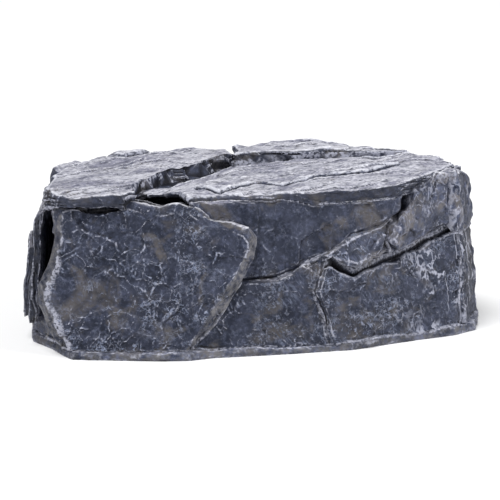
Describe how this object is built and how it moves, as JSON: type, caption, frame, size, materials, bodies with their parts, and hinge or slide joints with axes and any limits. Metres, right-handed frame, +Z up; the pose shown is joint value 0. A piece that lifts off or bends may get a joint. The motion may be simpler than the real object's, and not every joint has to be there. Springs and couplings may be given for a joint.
{
  "type": "resin cave ornament",
  "caption": "Hollow slate-look cave for an aquarium or pond: laminated rock slabs round an open chamber, with a lintelled mouth at the rear and a flat base.",
  "frame": {"origin": "on the underside of the base plate, below the middle of the chamber", "axes": "+X to the right along the length, +Y from the leaning front plate to the rear mouth, +Z up"},
  "size_m": [0.2458, 0.1212, 0.0933],
  "materials": {
    "dark_slate": "matte",
    "pale_slate": "matte",
    "warm_slate": "matte",
    "grey_foot": "matte"
  },
  "bodies": {
    "root": {"base_plate": "grey_foot", "entrance_jamb_left": "dark_slate", "entrance_jamb_right": "dark_slate", "entrance_lintel": "dark_slate", "front_plate": "dark_slate", "front_wall_lower": "dark_slate", "front_wall_upper": "dark_slate", "front_wedge": "dark_slate", "left_foot_stone": "warm_slate", "left_mid_leaf": "dark_slate", "left_outer_leaf": "dark_slate", "left_wall_slab": "dark_slate", "rear_corner_left": "dark_slate", "rear_corner_right": "dark_slate", "rear_foot_stone": "warm_slate", "rear_wall_left": "dark_slate", "rear_wall_right": "dark_slate", "right_end_lower": "dark_slate", "right_end_upper": "warm_slate", "right_lower_block": "dark_slate", "right_shoulder_block": "warm_slate", "roof_chip_left": "pale_slate", "roof_lamina": "pale_slate", "roof_slab_front": "pale_slate", "roof_slab_left": "pale_slate", "roof_slab_rear": "pale_slate"}
  },
  "joints": []
}
